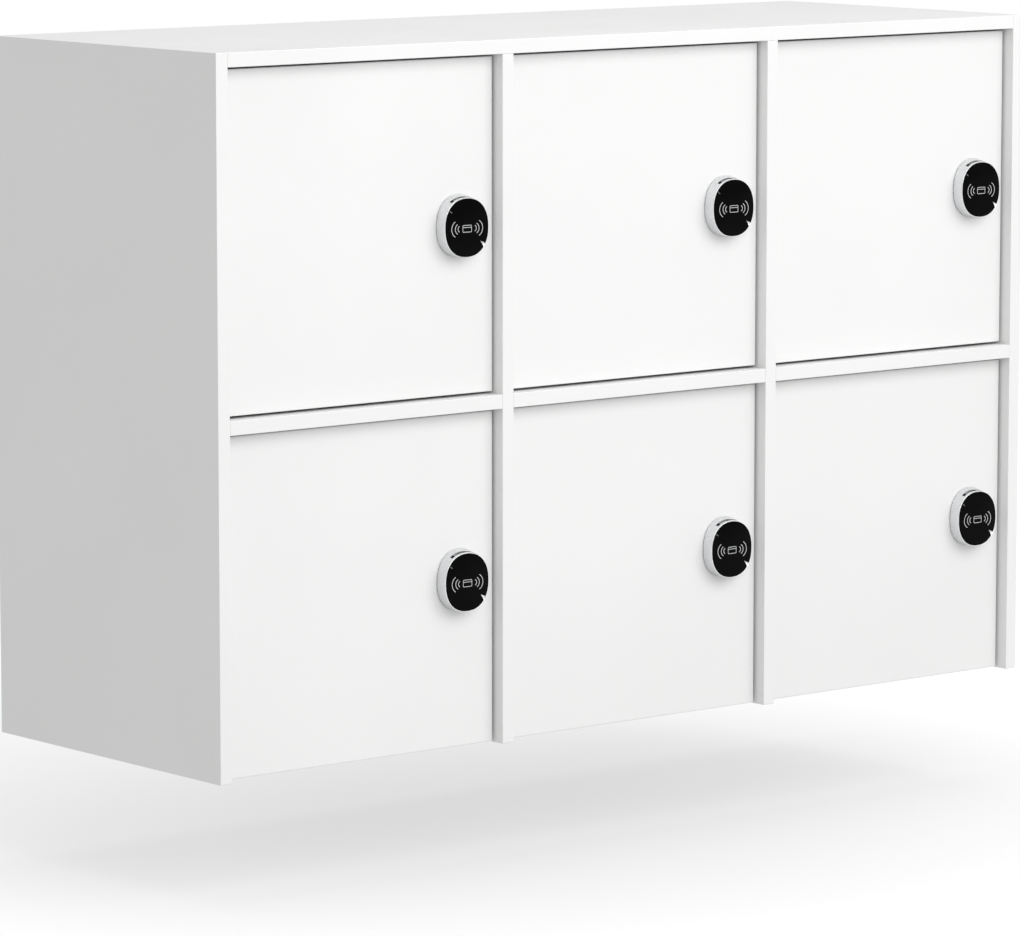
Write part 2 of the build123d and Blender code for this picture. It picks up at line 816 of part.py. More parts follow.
def carcass_nodes():
    """Every node that stands still, by name."""
    nodes = {
        "side_panel_left": [side_panel(-1)],
        "side_panel_right": [side_panel(1)],
        "top_panel": [top_panel()],
        "divider_left": [divider(0)],
        "divider_right": [divider(1)],
        "back_panel": [back_panel()],
        "cam_housings": cam_housings(),
        "connecting_bolts": connecting_bolts(),
        "hinge_plates": hinge_plates(),
        "hinge_arms": hinge_arms(),
        "strike_plates": strike_plates(),
        "carcass_screws": carcass_screws(),
    }
    for column, name in enumerate(columns):
        nodes["shelf_" + name] = [lying_board(column, front_y, opening_height)]
        nodes["floor_" + name] = [floor_board(column)]
    return nodes


def door_nodes(column, row):
    """Every node that swings with one door, by name."""
    name = rows[row] + "_" + columns[column]
    return {
        name + "_door": door_panel(column, row),
        name + "_hinge_cups": hinge_cups(column, row),
        name + "_door_screws": door_screws(column, row),
        name + "_lock_housing": lock_housing(column, row),
        name + "_lock_face": lock_face(column, row),
        name + "_lock_case": lock_case(column, row),
        name + "_lock_bolt": lock_bolt(column, row),
    }


def all_nodes():
    """Every node of the unit, by name."""
    nodes = carcass_nodes()
    for row in range(len(rows)):
        for column in range(len(columns)):
            nodes.update(door_nodes(column, row))
    return nodes


def single_shape(solids):
    """One solid as it is, or several as a group."""
    loose = []
    for item in solids:
        loose += item.solids()
    return loose[0] if len(loose) == 1 else Compound(loose)


os.makedirs("parts", exist_ok=True)
for node_name, node_solids in all_nodes().items():
    export_step(single_shape(node_solids), "parts/" + node_name + ".step")
    print(node_name, "solids", len(single_shape(node_solids).solids()))
print("rest to open, degrees", hinge_opening_angle, "dead bolt travel", dead_bolt_travel)
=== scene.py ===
import logging
import math
from dataclasses import dataclass, field
from enum import Enum, IntEnum

import bmesh
import bpy
from mathutils import Matrix, Vector


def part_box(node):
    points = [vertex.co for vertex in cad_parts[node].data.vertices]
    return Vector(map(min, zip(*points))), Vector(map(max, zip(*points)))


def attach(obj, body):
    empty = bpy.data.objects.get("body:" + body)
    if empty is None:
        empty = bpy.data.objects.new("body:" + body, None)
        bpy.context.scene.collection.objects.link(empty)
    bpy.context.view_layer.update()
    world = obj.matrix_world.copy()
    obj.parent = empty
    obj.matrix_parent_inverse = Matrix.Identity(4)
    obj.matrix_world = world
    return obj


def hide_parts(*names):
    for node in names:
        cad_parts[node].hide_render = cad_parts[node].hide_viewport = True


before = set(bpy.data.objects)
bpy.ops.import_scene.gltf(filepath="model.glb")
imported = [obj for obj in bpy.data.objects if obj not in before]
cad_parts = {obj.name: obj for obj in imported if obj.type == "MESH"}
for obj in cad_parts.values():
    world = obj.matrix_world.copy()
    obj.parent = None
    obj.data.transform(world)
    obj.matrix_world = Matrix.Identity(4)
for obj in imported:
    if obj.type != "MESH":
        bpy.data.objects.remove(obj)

LOGGER = logging.getLogger("locker_top_unit")
MM = 0.001
PATTERN_LOW = 0.3
PATTERN_HIGH = 0.7
FINE_DETAIL = 2.0
ANGLE_TOLERANCE = 0.01
SHARP_ANGLE = math.radians(35.0)
Colour = tuple[float, float, float]
Triple = tuple[float, float, float]
Bites = dict[float, float]


class Row(Enum):
    """The rows of compartments."""

    LOWER = "lower"
    UPPER = "upper"


class Column(Enum):
    """The columns of compartments."""

    LEFT = "left"
    MIDDLE = "middle"
    RIGHT = "right"


class ShellPart(IntEnum):
    """The material numbers of the lock's shell."""

    CHROME = 0
    RIM = 1
    # Black: the slot's pockets, and painted shade on the base ring and the upper right groove.
    BLACK = 2


class MixSocket(IntEnum):
    """The numbers of a colour mix node's sockets."""

    FIRST = 6
    SECOND = 7
    RESULT = 2


class ShaderSheet:
    """A material's nodes, with short calls to add them and join them."""

    def __init__(self, name: str) -> None:
        """Starts a material with its usual shader.

        Args:
            name: The material's name.
        """
        self.material = bpy.data.materials.new(name)
        self.material.use_nodes = True
        self.nodes = self.material.node_tree.nodes
        self.links = self.material.node_tree.links
        self.shader = self.nodes["Principled BSDF"]

    def add(self, kind: str, **settings: object) -> bpy.types.Node:
        """Adds a node and sets its properties.

        Args:
            kind: The node's type name.
            **settings: Properties of the node by name.

        Returns:
            The new node.
        """
        node = self.nodes.new(kind)
        for key, value in settings.items():
            setattr(node, key, value)
        return node

    def place(self) -> bpy.types.NodeSocket:
        """The place on the object, in metres."""
        return self.add("ShaderNodeTexCoord").outputs["Object"]

    def axes(self) -> list[bpy.types.NodeSocket]:
        """The place on the object as three numbers.

        Returns:
            The sockets of X, Y and Z, in metres.
        """
        split = self.add("ShaderNodeSeparateXYZ")
        self.links.new(self.place(), split.inputs[0])
        return list(split.outputs)

    def math(self, operation: str, *inputs: object) -> bpy.types.NodeSocket:
        """Works out a number from others.

        Args:
            operation: The name of the sum.
            *inputs: Numbers or sockets.

        Returns:
            The result's socket.
        """
        node = self.add("ShaderNodeMath", operation=operation)
        for index, value in enumerate(inputs):
            if isinstance(value, (int, float)):
                node.inputs[index].default_value = value
            else:
                self.links.new(value, node.inputs[index])
        return node.outputs[0]

    def noise(
        self, scale: float, detail: float = 3.0, stretch: Triple = (1.0, 1.0, 1.0)
    ) -> bpy.types.NodeSocket:
        """A cloudy pattern on the object's own coordinates.

        Args:
            scale: Cells per metre.
            detail: Octaves.
            stretch: The scale along each axis.

        Returns:
            The pattern's value.
        """
        mapping = self.add("ShaderNodeMapping")
        mapping.inputs["Scale"].default_value = stretch
        self.links.new(self.place(), mapping.inputs["Vector"])
        texture = self.add("ShaderNodeTexNoise")
        texture.inputs["Scale"].default_value = scale
        texture.inputs["Detail"].default_value = detail
        self.links.new(mapping.outputs[0], texture.inputs["Vector"])
        return texture.outputs["Fac"]

    def spread(self, value: bpy.types.NodeSocket, low: float, high: float) -> bpy.types.NodeSocket:
        """Maps a pattern's middle range to two limits.

        Args:
            value: The pattern.
            low: The result where the pattern is weak.
            high: The result where the pattern is strong.

        Returns:
            The mapped value.
        """
        node = self.add("ShaderNodeMapRange")
        node.inputs["From Min"].default_value = PATTERN_LOW
        node.inputs["From Max"].default_value = PATTERN_HIGH
        node.inputs["To Min"].default_value = low
        node.inputs["To Max"].default_value = high
        self.links.new(value, node.inputs["Value"])
        return node.outputs["Result"]

    def vary(self, scale: float, middle: float, reach: float) -> bpy.types.NodeSocket:
        """A value that wanders about a middle in a cloudy pattern.

        Args:
            scale: Cells per metre.
            middle: The middle value.
            reach: How far it goes up and down.

        Returns:
            The value.
        """
        return self.spread(self.noise(scale), middle - reach, middle + reach)

    def blend(self, factor: bpy.types.NodeSocket, first: object, second: object) -> bpy.types.NodeSocket:
        """Blends two colours.

        Args:
            factor: How much of the second colour shows.
            first: A colour or a socket.
            second: A colour or a socket.

        Returns:
            The blended colour.
        """
        node = self.add("ShaderNodeMix", data_type="RGBA")
        self.links.new(factor, node.inputs["Factor"])
        for key, value in ((MixSocket.FIRST, first), (MixSocket.SECOND, second)):
            if isinstance(value, tuple):
                node.inputs[key].default_value = (*value, 1.0)
            else:
                self.links.new(value, node.inputs[key])
        return node.outputs[MixSocket.RESULT]

    def bump(self, height: bpy.types.NodeSocket, distance: float, strength: float = 1.0) -> None:
        """Raises a fine relief on the surface.

        Args:
            height: The relief's pattern.
            distance: The relief's height in metres.
            strength: How much of it shows.
        """
        node = self.add("ShaderNodeBump")
        node.inputs["Distance"].default_value = distance
        node.inputs["Strength"].default_value = strength
        self.links.new(height, node.inputs["Height"])
        self.links.new(node.outputs[0], self.shader.inputs["Normal"])

    def set(self, **values: object) -> None:
        """Sets the shader's own sockets, with underscores for spaces.

        Args:
            **values: Numbers, colours or sockets by name.
        """
        for key, value in values.items():
            socket = self.shader.inputs[key.replace("_", " ")]
            if isinstance(value, bpy.types.NodeSocket):
                self.links.new(value, socket)
            elif isinstance(value, tuple):
                socket.default_value = (*value, 1.0)
            else:
                socket.default_value = value


@dataclass(frozen=True)
class MelamineFinish:
    """White melamine on chipboard, with a fine pearl grain and edge strips.

    The joint between a face and its edge strip shows as a hairline.
    """

    name: str = "white_melamine"
    colour: Colour = (0.80, 0.80, 0.797)
    shade: Colour = (0.775, 0.776, 0.772)
    joint_colour: Colour = (0.60, 0.60, 0.59)
    roughness: float = 0.38
    roughness_spread: float = 0.05
    clouds_per_metre: float = 3.0
    gloss_per_metre: float = 14.0
    pearl_per_metre: float = 900.0
    pearl_height: float = 0.00002
    strip: float = 1.0 * MM
    joint_width: float = 0.14 * MM

    def joint(self, sheet: ShaderSheet, axis: bpy.types.NodeSocket, edge: float) -> bpy.types.NodeSocket:
        """A hairline at the strip's distance from an edge.

        Args:
            sheet: The material.
            axis: The coordinate across the edge.
            edge: The edge's place along it, in metres.

        Returns:
            One on the hairline and nought elsewhere.
        """
        away = sheet.math("ABSOLUTE", sheet.math("SUBTRACT", axis, edge))
        off = sheet.math("ABSOLUTE", sheet.math("SUBTRACT", away, self.strip))
        return sheet.math("LESS_THAN", off, self.joint_width / 2)

    def build(self, edges: list[tuple[int, float]]) -> bpy.types.Material:
        """Makes the material.

        Args:
            edges: The edges with a strip, as axis number and place in metres.

        Returns:
            The material.
        """
        sheet = ShaderSheet(self.name)
        cloud = sheet.spread(sheet.noise(self.clouds_per_metre), 0.0, 1.0)
        colour = sheet.blend(cloud, self.colour, self.shade)
        axes = sheet.axes()
        for axis, edge in edges:
            colour = sheet.blend(self.joint(sheet, axes[axis], edge), colour, self.joint_colour)
        rough = sheet.vary(self.gloss_per_metre, self.roughness, self.roughness_spread)
        sheet.set(Base_Color=colour, Roughness=rough)
        sheet.bump(sheet.noise(self.pearl_per_metre, FINE_DETAIL), self.pearl_height)
        return sheet.material


@dataclass(frozen=True)
class MetalFinish:
    """A plated or brushed metal with a fine drawn grain."""

    name: str
    colour: Colour
    shade: Colour
    roughness: float
    roughness_spread: float = 0.06
    gloss_per_metre: float = 120.0
    grain_per_metre: float = 400.0
    grain_stretch: Triple = (1.0, 1.0, 12.0)
    grain_height: float = 0.000006

    def build(self) -> bpy.types.Material:
        """Makes the material.

        Returns:
            The material.
        """
        sheet = ShaderSheet(self.name)
        grain = sheet.noise(self.grain_per_metre, stretch=self.grain_stretch)
        colour = sheet.blend(sheet.spread(grain, 0.0, 1.0), self.colour, self.shade)
        rough = sheet.vary(self.gloss_per_metre, self.roughness, self.roughness_spread)
        sheet.set(Base_Color=colour, Roughness=rough, Metallic=1.0)
        sheet.bump(grain, self.grain_height)
        return sheet.material


@dataclass(frozen=True)
class PlasticFinish:
    """A moulded or lacquered plastic with a faint relief."""

    name: str
    colour: Colour
    shade: Colour
    roughness: float
    specular: float = 0.5
    roughness_spread: float = 0.03
    tint_per_metre: float = 30.0
    gloss_per_metre: float = 60.0
    relief_per_metre: float = 1200.0
    relief_height: float = 0.00002

    def build(self) -> bpy.types.Material:
        """Makes the material.

        Returns:
            The material.
        """
        sheet = ShaderSheet(self.name)
        relief = sheet.noise(self.relief_per_metre, FINE_DETAIL)
        tint = sheet.spread(sheet.noise(self.tint_per_metre), 0.0, 1.0)
        colour = sheet.blend(tint, self.colour, self.shade)
        rough = sheet.vary(self.gloss_per_metre, self.roughness, self.roughness_spread)
        sheet.set(Base_Color=colour, Roughness=rough, Specular_IOR_Level=self.specular)
        sheet.bump(relief, self.relief_height)
        return sheet.material


class Finishes:
    """Every material of the unit, made once."""

    def __init__(self) -> None:
        """Makes the materials that more than one piece wears."""
        self.chrome = MetalFinish(
            name="satin_chrome", colour=(0.77, 0.78, 0.79), shade=(0.72, 0.73, 0.74), roughness=0.30
        ).build()
        self.rim = MetalFinish(
            name="polished_rim", colour=(0.92, 0.92, 0.93), shade=(0.86, 0.86, 0.87), roughness=0.12,
            roughness_spread=0.03
        ).build()
        self.nickel = MetalFinish(
            name="nickel_plate", colour=(0.70, 0.69, 0.66), shade=(0.60, 0.59, 0.57), roughness=0.24
        ).build()
        self.zinc = MetalFinish(
            name="zinc_plate", colour=(0.58, 0.58, 0.57), shade=(0.46, 0.46, 0.45), roughness=0.38
        ).build()
        self.steel = MetalFinish(
            name="ground_steel", colour=(0.62, 0.62, 0.62), shade=(0.50, 0.50, 0.50), roughness=0.28,
            grain_stretch=(1.0, 14.0, 14.0)
        ).build()
        self.gloss_black = PlasticFinish(
            name="gloss_black", colour=(0.0012, 0.0012, 0.0011), shade=(0.0020, 0.0020, 0.0020),
            roughness=0.10, specular=0.032, roughness_spread=0.02, relief_per_metre=300.0,
            relief_height=0.000002
        ).build()
        # Black for the slot's pockets, and painted shade on the shell's base ring and upper right groove.
        self.black_slot_and_painted_shade = PlasticFinish(
            name="black_slot_and_painted_shade", colour=(0.012, 0.012, 0.013), shade=(0.02, 0.02, 0.021), roughness=0.5
        ).build()
        self.dark_case = PlasticFinish(
            name="dark_case", colour=(0.035, 0.036, 0.038), shade=(0.05, 0.051, 0.053), roughness=0.48
        ).build()
        self.print_grey = PlasticFinish(
            name="print_grey", colour=(0.54, 0.55, 0.55), shade=(0.50, 0.51, 0.51), roughness=0.35
        ).build()
        # Painted highlight: a lighter grey for the glint mark on the black plate.
        self.painted_glint_grey = PlasticFinish(
            name="painted_glint_grey", colour=(0.16, 0.17, 0.17), shade=(0.11, 0.12, 0.12), roughness=0.15
        ).build()
        self.hardboard = PlasticFinish(
            name="white_hardboard", colour=(0.77, 0.77, 0.76), shade=(0.755, 0.755, 0.745), roughness=0.5,
            specular=0.4, roughness_spread=0.05, relief_per_metre=500.0, relief_height=0.00003
        ).build()


def wear(node: bpy.types.Object, material: bpy.types.Material) -> None:
    """Gives a piece one material.

    Args:
        node: The piece.
        material: The material it wears.
    """
    if not node.material_slots:
        node.data.materials.append(material)
    for piece_slot in node.material_slots:
        piece_slot.material = material


def settle(
    mesh: bmesh.types.BMesh, name: str, materials: list[bpy.types.Material], body: str
) -> bpy.types.Object:
    """Turns a finished bmesh into a piece that rides on a body.

    Args:
        mesh: The shape, in the frame's metres.
        name: The piece's name.
        materials: Its materials, in the order of the faces' numbers.
        body: The body it rides on.

    Returns:
        The piece.
    """
    data = bpy.data.meshes.new(name)
    mesh.normal_update()
    mesh.to_mesh(data)
    mesh.free()
    piece = bpy.data.objects.new(name, data)
    bpy.context.scene.collection.objects.link(piece)
    for material in materials:
        data.materials.append(material)
    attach(piece, body)
    return piece


@dataclass(frozen=True)
class OvalOutline:
    """The squarish oval outline of the lock, seen from the front."""

    width: float = 62.0 * MM
    height: float = 66.0 * MM
    squareness: float = 2.25

    def point(self, angle: float, inset: float, lift: float) -> tuple[float, float]:
        """A point of the outline.

        Args:
            angle: The direction from the middle, in radians.
            inset: How far the outline is drawn in.
            lift: How far its upper half is stretched upwards.

        Returns:
            The distances to the right of the middle and above it.
        """
        c = math.cos(angle)
        s = math.sin(angle)
        scale = (abs(c) ** self.squareness + abs(s) ** self.squareness) ** (-1.0 / self.squareness)
        tall = self.height / 2 - inset + (lift if s > 0 else 0.0)
        return scale * c * (self.width / 2 - inset), scale * s * tall


class RingStack:
    """A mesh drawn ring by ring along Y, from the door towards the viewer."""

    def __init__(self, centre: Vector, outline: OvalOutline, segments: int) -> None:
        """Starts the stack with one open ring.

        Args:
            centre: The middle of the outline on the door's front.
            outline: The outline.
            segments: Points in each ring.
        """
        self.centre = centre
        self.outline = outline
        self.mesh = bmesh.new()
        turn = Matrix.Rotation(math.pi / 2, 4, "X")
        bmesh.ops.create_circle(self.mesh, segments=segments, radius=1.0, matrix=turn)
        self.angle = self.mesh.verts.layers.float.new("angle")
        for vert in self.mesh.verts:
            vert[self.angle] = math.atan2(vert.co.z, vert.co.x)
        self.ring = list(self.mesh.edges)
        self.bands: list[list[bmesh.types.BMFace]] = []

    def place(self, inset: float, out: float, lift: float, bites: Bites | None = None) -> None:
        """Puts the newest ring in its place.

        Args:
            inset: How far it is drawn in.
            out: Its distance from the door's front.
            lift: How far its upper half is stretched upwards.
            bites: Further inset at given angles in degrees.
        """
        verts = {vert for edge in self.ring for vert in edge.verts}
        for vert in verts:
            angle = vert[self.angle]
            bite = (bites or {}).get(round(math.degrees(angle), 1), 0.0)
            x, z = self.outline.point(angle, inset, lift)
            shrink = 1.0 - bite / math.hypot(x, z)
            vert.co = self.centre + Vector((x * shrink, -out, z * shrink))

    def extend(self, inset: float, out: float, lift: float, bites: Bites | None = None) -> None:
        """Draws a new ring out of the newest one.

        Args:
            inset: How far it is drawn in.
            out: Its distance from the door's front.
            lift: How far its upper half is stretched upwards.
            bites: Further inset at given angles in degrees.
        """
        made = bmesh.ops.extrude_edge_only(self.mesh, edges=self.ring)["geom"]
        self.bands.append([item for item in made if isinstance(item, bmesh.types.BMFace)])
        verts = {item for item in made if isinstance(item, bmesh.types.BMVert)}
        self.ring = [e for e in made if isinstance(e, bmesh.types.BMEdge) and set(e.verts) <= verts]
        self.place(inset, out, lift, bites)

    def cap(self) -> None:
        """Closes the newest ring with a flat face."""
        bmesh.ops.edgeloop_fill(self.mesh, edges=self.ring)

    def in_sector(self, face: bmesh.types.BMFace, start: float, end: float) -> bool:
        """True if a face lies between two angles in degrees."""
        angles = [math.degrees(vert[self.angle]) for vert in face.verts]
        return min(angles) > start - ANGLE_TOLERANCE and max(angles) < end + ANGLE_TOLERANCE

    def sink(self, faces: list[bmesh.types.BMFace], depth: float, number: int) -> None:
        """Presses faces in towards the outline's middle.

        Args:
            faces: The faces.
            depth: How far they sink.
            number: The material number of what sinks and of the walls it leaves.
        """
        made = bmesh.ops.extrude_face_region(self.mesh, geom=faces)["geom"]
        bmesh.ops.delete(self.mesh, geom=faces, context="FACES")
        verts = [item for item in made if isinstance(item, bmesh.types.BMVert)]
        for vert in verts:
            inward = self.centre - vert.co
            inward.y = 0.0
            vert.co += inward.normalized() * depth
        for face in {face for vert in verts for face in vert.link_faces}:
            face.material_index = number


@dataclass(frozen=True)
class PlatePrint:
    """What is printed on the reader plate: plain arcs and a card, and a painted highlight: a grey mark for
    a glint near the upper left edge.
    """

    height: float = 0.05 * MM
    drop: float = 1.0 * MM
    arcs: tuple[Triple, ...] = (
        (12.6 * MM, 9.4 * MM, 62.0), (10.9 * MM, 6.0 * MM, 63.0), (9.6 * MM, 3.4 * MM, 68.0)
    )
    arc_half_line: float = 0.4 * MM
    arc_steps: int = 28
    card_width: float = 13.0 * MM
    card_height: float = 8.2 * MM
    card_line: float = 0.65 * MM
    card_round: float = 1.4 * MM
    card_round_steps: int = 5
    stripe_rise: float = card_height / 6
    # The painted highlight: a small grey mark standing in for a glint on the plate's edge.
    glint_inset: float = 2.6 * MM
    glint_length: float = 4.2 * MM
    glint_width: float = 0.9 * MM
    glint_round: float = 0.4 * MM
    glint_round_steps: int = 4


@dataclass
class CardLock:
    """The card lock on a door: the shell and the reader plate in front, the case behind."""

    prefix: str
    finishes: Finishes
    outline: OvalOutline = field(default_factory=OvalOutline)
    printed: PlatePrint = field(default_factory=PlatePrint)
    segments: int = 360
    # Painted shade: the shell's base ring is set in, which shades it, and it is black besides, for a dark
    # line where the shell meets the door.
    shade_ring_height: float = 1.0 * MM
    shade_ring_inset: float = 0.7 * MM
    projection: float = 16.5 * MM
    proud: float = 0.6 * MM
    flare: float = 3.4 * MM
    rim: float = 0.5 * MM
    chamfer: float = 0.12 * MM
    plate: float = 2.2 * MM
    plate_clearance: float = 0.15 * MM
    edge_steps: int = 4
    seat_reach: float = 10.0 * MM
    slot_near: float = 8.9 * MM
    slot_far: float = 13.1 * MM
    slot_depth: float = 1.6 * MM
    slot_start: float = 90.0
    slot_end: float = 126.0
    # Painted shade: a shallow black groove along the shell's upper right stands in for the shade at its
    # edge.
    shade_groove_start: float = 56.0
    shade_groove_width: float = 2.2 * MM
    shade_groove_depth: float = 0.6 * MM
    rib_period: int = 4
    rib_steps: int = 2
    rib_depth: float = 0.5 * MM
    plain_from: float = 119.0
    notch_angle: float = -37.0
    notch_length: float = 8.0 * MM
    notch_half: float = 4.5

    @property
    def body(self) -> str:
        """The body the lock rides on."""
        return self.prefix + "_door_leaf"

    @property
    def centre(self) -> Vector:
        """The lock's middle on the door's front.

        Returns:
            The place in metres.
        """
        low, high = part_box(self.prefix + "_lock_face")
        door_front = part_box(self.prefix + "_door")[0].y
        return Vector(((low.x + high.x) / 2, door_front, (low.z + high.z) / 2))

    def lift_at(self, out: float) -> float:
        """The upward stretch of the shell at a distance from the door."""
        return self.flare * (1.0 - out / (self.projection - self.proud))

    def build_shell(self) -> bpy.types.Object:
        """Makes the metal shell with its ribbed slot, a black groove of painted shade along its upper
        right, a black base ring of painted shade at the door, and its polished rim.

        Returns:
            The shell.
        """
        top = self.projection - self.proud
        seat = self.projection - self.plate
        middle = (self.slot_near + self.slot_far) / 2
        stack = RingStack(self.centre, self.outline, self.segments)
        stack.place(self.shade_ring_inset, 0.0, self.lift_at(0.0))
        stack.cap()
        stack.extend(self.shade_ring_inset, self.shade_ring_height, self.lift_at(self.shade_ring_height))
        shade_groove_near = middle - self.shade_groove_width / 2
        shade_groove_far = middle + self.shade_groove_width / 2
        for out in (self.shade_ring_height, self.slot_near, shade_groove_near, shade_groove_far, self.slot_far):
            stack.extend(0.0, out, self.lift_at(out))
        stack.extend(0.0, top - 2 * self.chamfer, self.lift_at(top))
        stack.extend(self.chamfer / 3, top - self.chamfer / 2, 0.0)
        stack.extend(self.chamfer, top, 0.0)
        stack.extend(self.rim - self.chamfer, top, 0.0)
        stack.extend(self.rim, top - self.chamfer, 0.0)
        stack.extend(self.rim, seat, 0.0)
        stack.extend(self.rim + self.seat_reach, seat, 0.0)
        stack.cap()
        # Painted shade: the base ring at the door is black.
        for face in stack.bands[0]:
            face.material_index = ShellPart.BLACK
        for band in stack.bands[7:11]:
            for face in band:
                face.material_index = ShellPart.RIM
        # Painted shade: the groove along the upper right is sunk and black.
        shade_groove = [f for f in stack.bands[4] if stack.in_sector(f, self.shade_groove_start, self.slot_start)]
        pockets = []
        ribs = []
        for band in stack.bands[3:6]:
            for face in band:
                if stack.in_sector(face, self.slot_start, self.slot_end):
                    (ribs if self.is_rib(stack, face) else pockets).append(face)
        stack.sink(ribs, self.rib_depth, ShellPart.CHROME)
        stack.sink(pockets, self.slot_depth, ShellPart.BLACK)
        stack.sink(shade_groove, self.shade_groove_depth, ShellPart.BLACK)
        bmesh.ops.recalc_face_normals(stack.mesh, faces=stack.mesh.faces)
        for face in stack.mesh.faces:
            face.smooth = True
        materials = [self.finishes.chrome, self.finishes.rim, self.finishes.black_slot_and_painted_shade]
        shell = settle(stack.mesh, self.prefix + "_lock_shell", materials, self.body)
        shell.data.set_sharp_from_angle(angle=SHARP_ANGLE)
        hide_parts(self.prefix + "_lock_housing")
        return shell

    def is_rib(self, stack: RingStack, face: bmesh.types.BMFace) -> bool:
        """Tells whether a face of the slot is the top of a rib.

        Args:
            stack: The shell's rings.
            face: The face.

        Returns:
            True for a rib and False for a pocket.
        """
        start = min(math.degrees(vert[stack.angle]) for vert in face.verts)
        number = round((start - self.slot_start) / (360.0 / self.segments))
        on_rib = number % self.rib_period >= self.rib_period - self.rib_steps
        return start < self.plain_from and on_rib

    def build_plate(self) -> bpy.types.Object:
        """Makes the gloss black reader plate with its nail notch.

        Returns:
            The plate.
        """
        step = 360.0 / self.segments
        reach = int(self.notch_half)
        bites = {}
        for index in range(-reach, reach + 1):
            share = max(0.0, 1.0 - abs(index * step) / self.notch_half)
            bites[round(self.notch_angle + index * step, 1)] = self.notch_length * share
        rise = self.projection - self.printed.height
        stack = RingStack(self.centre, self.outline, self.segments)
        inset = self.rim + self.plate_clearance
        stack.place(inset, self.projection - self.plate, 0.0, bites)
        stack.cap()
        for turn in range(self.edge_steps + 1):
            angle = turn * math.pi / 2 / self.edge_steps
            drawn_in = self.proud * (1.0 - math.cos(angle))
            set_back = self.proud * (1.0 - math.sin(angle))
            stack.extend(inset + drawn_in, rise - set_back, 0.0, bites)
        stack.cap()
        bmesh.ops.recalc_face_normals(stack.mesh, faces=stack.mesh.faces)
        for face in stack.mesh.faces:
            face.smooth = len(face.verts) == 4
        plate = settle(stack.mesh, self.prefix + "_reader_plate", [self.finishes.gloss_black], self.body)
        plate.data.set_sharp_from_angle(angle=SHARP_ANGLE)
        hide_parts(self.prefix + "_lock_face")
        return plate

    def build_arcs(self) -> bpy.types.Object:
        """Makes the plain arcs printed on both sides of the plate's middle.

        Returns:
            The arcs as one piece.
        """
        half = self.printed.arc_half_line
        deep = self.printed.height
        mesh = bmesh.new()
        for side in (-1, 1):
            for offset, radius, reach in self.printed.arcs:
                hub = self.centre + Vector((side * offset, -self.projection, -self.printed.drop))
                start = Matrix.Rotation(math.radians(-reach), 3, "Y")
                corners = []
                for r, y in ((-half, 0.0), (half, 0.0), (half, deep), (-half, deep)):
                    spoke = start @ Vector((side * (radius + r), 0.0, 0.0))
                    corners.append(mesh.verts.new(hub + spoke + Vector((0.0, y, 0.0))))
                face = mesh.faces.new(corners)
                geometry = [face, *face.edges, *face.verts]
                turn = math.radians(2.0 * reach)
                steps = self.printed.arc_steps
                bmesh.ops.spin(mesh, geom=geometry, cent=hub, axis=(0, 1, 0), angle=turn, steps=steps)
        bmesh.ops.recalc_face_normals(mesh, faces=mesh.faces)
        arcs_piece = settle(mesh, self.prefix + "_reader_arcs", [self.finishes.print_grey], self.body)
        return arcs_piece

    def build_card_mark(self) -> bpy.types.Object:
        """Makes the plain outline of a card printed between the arcs.

        Returns:
            The card mark.
        """
        ink = self.printed
        mesh = bmesh.new()
        size = Matrix.Diagonal((ink.card_width / 2, ink.card_height / 2, 1.0, 1.0))
        turn = Matrix.Rotation(math.pi / 2, 4, "X")
        place = Matrix.Translation(self.centre + Vector((0.0, -self.projection, -ink.drop))) @ turn
        bmesh.ops.create_grid(mesh, x_segments=1, y_segments=1, size=1.0, matrix=place @ size)
        bmesh.ops.bevel(
            mesh, geom=list(mesh.verts), offset=ink.card_round, segments=ink.card_round_steps, profile=0.5,
            affect="VERTICES", material=-1
        )
        line = bmesh.ops.inset_region(
            mesh, faces=list(mesh.faces), thickness=ink.card_line, use_boundary=True
        )["faces"]
        middle = [face for face in mesh.faces if face not in set(line)]
        bmesh.ops.delete(mesh, geom=middle, context="FACES_ONLY")
        stripe_size = Matrix.Diagonal((ink.card_width / 2 - ink.card_line, ink.card_line / 2, 1.0, 1.0))
        stripe = Matrix.Translation(Vector((0.0, 0.0, ink.stripe_rise))) @ place @ stripe_size
        bmesh.ops.create_grid(mesh, x_segments=1, y_segments=1, size=1.0, matrix=stripe)
        faces = list(mesh.faces)
        made = bmesh.ops.extrude_face_region(mesh, geom=faces, use_keep_orig=True)["geom"]
        verts = [item for item in made if isinstance(item, bmesh.types.BMVert)]
        bmesh.ops.translate(mesh, verts=verts, vec=(0.0, ink.height, 0.0))
        bmesh.ops.recalc_face_normals(mesh, faces=mesh.faces)
        mark = settle(mesh, self.prefix + "_reader_card_mark", [self.finishes.print_grey], self.body)
        return mark

    def build_painted_glint(self) -> bpy.types.Object:
        """Makes a painted highlight: a small grey mark standing in for a glint near the plate's upper left
        edge.

        Returns:
            The painted highlight.
        """
        ink = self.printed
        mesh = bmesh.new()
        angle = math.radians(180.0 + self.notch_angle)
        x, z = self.outline.point(angle, self.rim + ink.glint_inset, 0.0)
        middle = self.centre + Vector((x, -self.projection + ink.height / 2, z))
        turn = Matrix.Rotation(-angle, 4, "Y")
        size = Matrix.Diagonal((ink.glint_length, ink.height, ink.glint_width, 1.0))
        bmesh.ops.create_cube(mesh, size=1.0, matrix=Matrix.Translation(middle) @ turn @ size)
        deep = [e for e in mesh.edges if abs(e.verts[0].co.y - e.verts[1].co.y) > ink.height / 2]
        bmesh.ops.bevel(
            mesh, geom=deep, offset=ink.glint_round, segments=ink.glint_round_steps, profile=0.5,
            affect="EDGES", material=-1
        )
